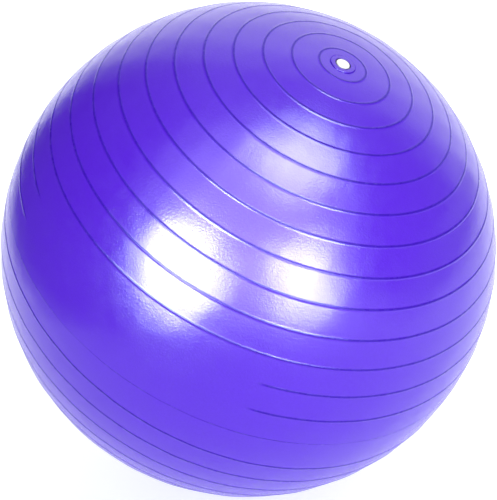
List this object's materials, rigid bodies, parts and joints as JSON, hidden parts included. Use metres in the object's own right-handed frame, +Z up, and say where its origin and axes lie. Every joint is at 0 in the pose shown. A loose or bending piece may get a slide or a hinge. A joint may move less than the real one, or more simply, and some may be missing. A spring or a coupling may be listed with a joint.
{
  "type": "exercise ball",
  "caption": "Large inflatable exercise ball with a ribbed glossy vinyl skin, a bonded valve seat and a pull-out plug, standing on its flattened contact patch.",
  "frame": {"origin": "on the floor plane, at the centre of the flattened patch that the ball stands on, straight below the ball's centre", "axes": "+Z up. +X to the right and -Y towards the viewer of the ball's valve side. The valve's axis leans 24 degrees from +Z, towards 30 degrees from +X on the -Y side"},
  "size_m": [0.6512, 0.6513, 0.6486],
  "materials": {
    "skin": "glossy vinyl with a fine grain",
    "valve_seat": "satin vinyl",
    "plug": "smooth white polyethylene"
  },
  "bodies": {
    "ball": {"ball_shell": "skin", "valve_seat": "valve_seat"},
    "plug": {"plug": "plug"}
  },
  "joints": [
    {"name": "plug_pull", "type": "slide", "parent": "ball", "child": "plug", "axis": [0.3522, -0.2034, 0.9135], "range_m": [0, 0.045]}
  ]
}
